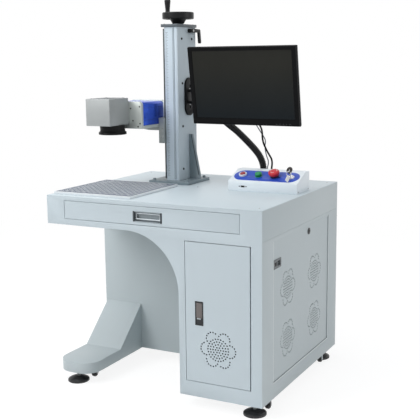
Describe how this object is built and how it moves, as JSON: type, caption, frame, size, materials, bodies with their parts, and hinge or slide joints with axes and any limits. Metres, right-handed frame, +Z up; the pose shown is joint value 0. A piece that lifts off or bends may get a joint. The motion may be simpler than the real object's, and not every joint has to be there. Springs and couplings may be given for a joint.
{
  "type": "laser marking machine",
  "caption": "Desk-type laser marking machine with a lifting column, marking head, monitor on a swivel arm, sloped control box, drawer and side cabinet.",
  "frame": {"origin": "on the floor under the middle of the desk's width and depth", "axes": "+Z up, front (drawer, door and screen) towards -Y, cabinet on +X"},
  "size_m": [0.85, 0.729, 1.4123],
  "materials": {
    "panel_paint": "satin powder coat",
    "top_paint": "satin powder coat",
    "frame_paint": "satin powder coat",
    "black_plastic": "matte",
    "black_paint": "satin",
    "pad_rubber": "matte",
    "grey_plastic": "matte",
    "steel": "brushed",
    "machine_paint": "satin",
    "case_paint": "matte",
    "plate_anodised": "anodised",
    "column_alu": "satin anodised",
    "silver_alu": "satin anodised",
    "blue_anodised": "anodised",
    "gloss_black": "gloss",
    "screen_panel": "semi-matt panel",
    "overlay_blue": "satin film",
    "pale_plastic": "gloss",
    "red_plastic": "gloss",
    "green_plastic": "gloss"
  },
  "bodies": {
    "desk": {"desk_top": "top_paint", "desk_fascia": "panel_paint", "upper_frame": "frame_paint", "cabinet_frame": "frame_paint", "rear_panel": "panel_paint", "side_panel": "frame_paint", "power_inlet": "grey_plastic", "modesty_panel": "panel_paint", "left_leg": "frame_paint", "levelling_feet": "pad_rubber", "drawer_rails": "steel", "door_hinges": "steel", "laser_source": "case_paint", "computer_case": "case_paint", "work_plate": "plate_anodised", "column_base": "machine_paint", "column_profile": "column_alu", "column_cover": "column_alu", "column_cap": "machine_paint", "guide_rails": "steel", "control_box": "top_paint", "overlay_panel": "overlay_blue", "switch_bodies": "pale_plastic", "arm_wall_plate": "black_paint", "conduit": "black_plastic", "monitor_leads": "black_plastic", "cable_glands": "black_plastic"},
    "side_lock": {"side_lock": "steel"},
    "rocker": {"power_rocker": "black_plastic"},
    "caster_left": {"caster_fork_left": "black_paint"},
    "caster_right": {"caster_fork_right": "black_paint"},
    "wheel_front_left": {"caster_wheel_left": "pad_rubber"},
    "wheel_front_right": {"caster_wheel_right": "pad_rubber"},
    "wheel_rear_left": {"rear_wheel_left": "pad_rubber"},
    "wheel_rear_right": {"rear_wheel_right": "pad_rubber"},
    "drawer": {"drawer_tray": "panel_paint", "drawer_front": "panel_paint", "handle_cup": "steel"},
    "bail": {"drawer_handle": "steel"},
    "door": {"cabinet_door": "panel_paint", "latch_frame": "black_plastic"},
    "latch": {"latch_lever": "grey_plastic"},
    "wheel": {"handwheel": "gloss_black", "lead_screw": "steel"},
    "grip": {"wheel_handle": "black_plastic"},
    "clamp": {"clamp_lever": "black_paint"},
    "head": {"slider": "column_alu", "slider_bracket": "machine_paint", "laser_housing": "blue_anodised", "housing_plates": "silver_alu", "galvo_head": "silver_alu", "lens": "gloss_black"},
    "power_button": {"power_button": "red_plastic"},
    "start_button": {"start_button": "green_plastic"},
    "estop": {"emergency_stop": "red_plastic"},
    "key": {"key": "steel"},
    "arm": {"monitor_arm": "black_paint"},
    "arm_head": {"arm_head": "black_paint"},
    "monitor": {"monitor_shell": "gloss_black", "monitor_screen": "screen_panel"}
  },
  "joints": [
    {"name": "drawer_slide", "type": "slide", "parent": "desk", "child": "drawer", "axis": [0, -1, 0], "range_m": [0, 0.35]},
    {"name": "bail_swing", "type": "hinge", "parent": "drawer", "child": "bail", "pos_m": [-0.0015, -0.358, 0.665], "axis": [-1, 0, 0], "range_deg": [0, 80]},
    {"name": "door_swing", "type": "hinge", "parent": "desk", "child": "door", "pos_m": [0.378, -0.3588, 0.341], "axis": [0, 0, 1], "range_deg": [0, 110]},
    {"name": "latch_lift", "type": "hinge", "parent": "door", "child": "latch", "pos_m": [0.1945, -0.3612, 0.37397], "axis": [-1, 0, 0], "range_deg": [0, 35], "stiffness_Nm_per_rad": 0.05, "springref_deg": -11.46},
    {"name": "handwheel_turn", "type": "hinge", "parent": "desk", "child": "wheel", "pos_m": [-0.153, 0.143, 1.34], "axis": [0, 0, 1], "range_deg": [-16950, 10110]},
    {"name": "z_slide", "type": "slide", "parent": "desk", "child": "head", "axis": [0, 0, 1], "range_m": [-0.14, 0.235], "deforming": ["conduit"]},
    {"name": "grip_spin", "type": "hinge", "parent": "wheel", "child": "grip", "pos_m": [-0.20421, 0.15203, 1.385], "axis": [0, 0, 1], "continuous": true},
    {"name": "clamp_turn", "type": "hinge", "parent": "desk", "child": "clamp", "pos_m": [-0.111, 0.16, 1.292], "axis": [1, 0, 0], "range_deg": [-30, 35]},
    {"name": "arm_swing", "type": "hinge", "parent": "desk", "child": "arm", "pos_m": [-0.08, 0.151, 1.04], "axis": [0, 0, 1], "range_deg": [-20, 30], "deforming": ["monitor_leads"]},
    {"name": "head_turn", "type": "hinge", "parent": "arm", "child": "arm_head", "pos_m": [0.192, 0.098, 1.04], "axis": [0, 0, 1], "range_deg": [-15, 25]},
    {"name": "monitor_tilt", "type": "hinge", "parent": "arm_head", "child": "monitor", "pos_m": [0.19098, 0.07014, 1.09596], "axis": [0.9992, -0.0401, 0], "range_deg": [-15, 8]},
    {"name": "power_push", "type": "slide", "parent": "desk", "child": "power_button", "axis": [0, 0.3752, -0.9269], "range_m": [0, 0.003], "stiffness_N_per_m": 400, "springref_m": -0.002},
    {"name": "start_push", "type": "slide", "parent": "desk", "child": "start_button", "axis": [0, 0.3752, -0.9269], "range_m": [0, 0.003], "stiffness_N_per_m": 400, "springref_m": -0.002},
    {"name": "estop_push", "type": "slide", "parent": "desk", "child": "estop", "axis": [0, 0.3752, -0.9269], "range_m": [0, 0.004], "stiffness_N_per_m": 800, "springref_m": -0.002},
    {"name": "key_turn", "type": "hinge", "parent": "desk", "child": "key", "pos_m": [0.36, 0.038, 0.759], "axis": [0, -0.3752, 0.9269], "range_deg": [0, 90]},
    {"name": "side_lock_turn", "type": "hinge", "parent": "desk", "child": "side_lock", "pos_m": [0.42, 0.06178, 0.564], "axis": [1, 0, 0], "range_deg": [0, 90]},
    {"name": "rocker_tilt", "type": "hinge", "parent": "desk", "child": "rocker", "pos_m": [0.4118, -0.247, 0.507], "axis": [0, 0, 1], "range_deg": [-8, 8]},
    {"name": "caster_swivel_left", "type": "hinge", "parent": "desk", "child": "caster_left", "pos_m": [-0.31, -0.272, 0.041], "axis": [0, 0, 1], "continuous": true},
    {"name": "wheel_roll_front_left", "type": "hinge", "parent": "caster_left", "child": "wheel_front_left", "pos_m": [-0.31, -0.266, 0.017], "axis": [1, 0, 0], "continuous": true},
    {"name": "caster_swivel_right", "type": "hinge", "parent": "desk", "child": "caster_right", "pos_m": [0.403, -0.268, 0.041], "axis": [0, 0, 1], "continuous": true},
    {"name": "wheel_roll_front_right", "type": "hinge", "parent": "caster_right", "child": "wheel_front_right", "pos_m": [0.403, -0.262, 0.017], "axis": [1, 0, 0], "continuous": true},
    {"name": "wheel_roll_rear_left", "type": "hinge", "parent": "desk", "child": "wheel_rear_left", "pos_m": [-0.31, 0.25, 0.017], "axis": [1, 0, 0], "continuous": true},
    {"name": "wheel_roll_rear_right", "type": "hinge", "parent": "desk", "child": "wheel_rear_right", "pos_m": [0.403, 0.25, 0.017], "axis": [1, 0, 0], "continuous": true}
  ],
  "couplings": [
    {"joint": "handwheel_turn", "follows": "z_slide", "rad_per_m": -1256.6}
  ]
}
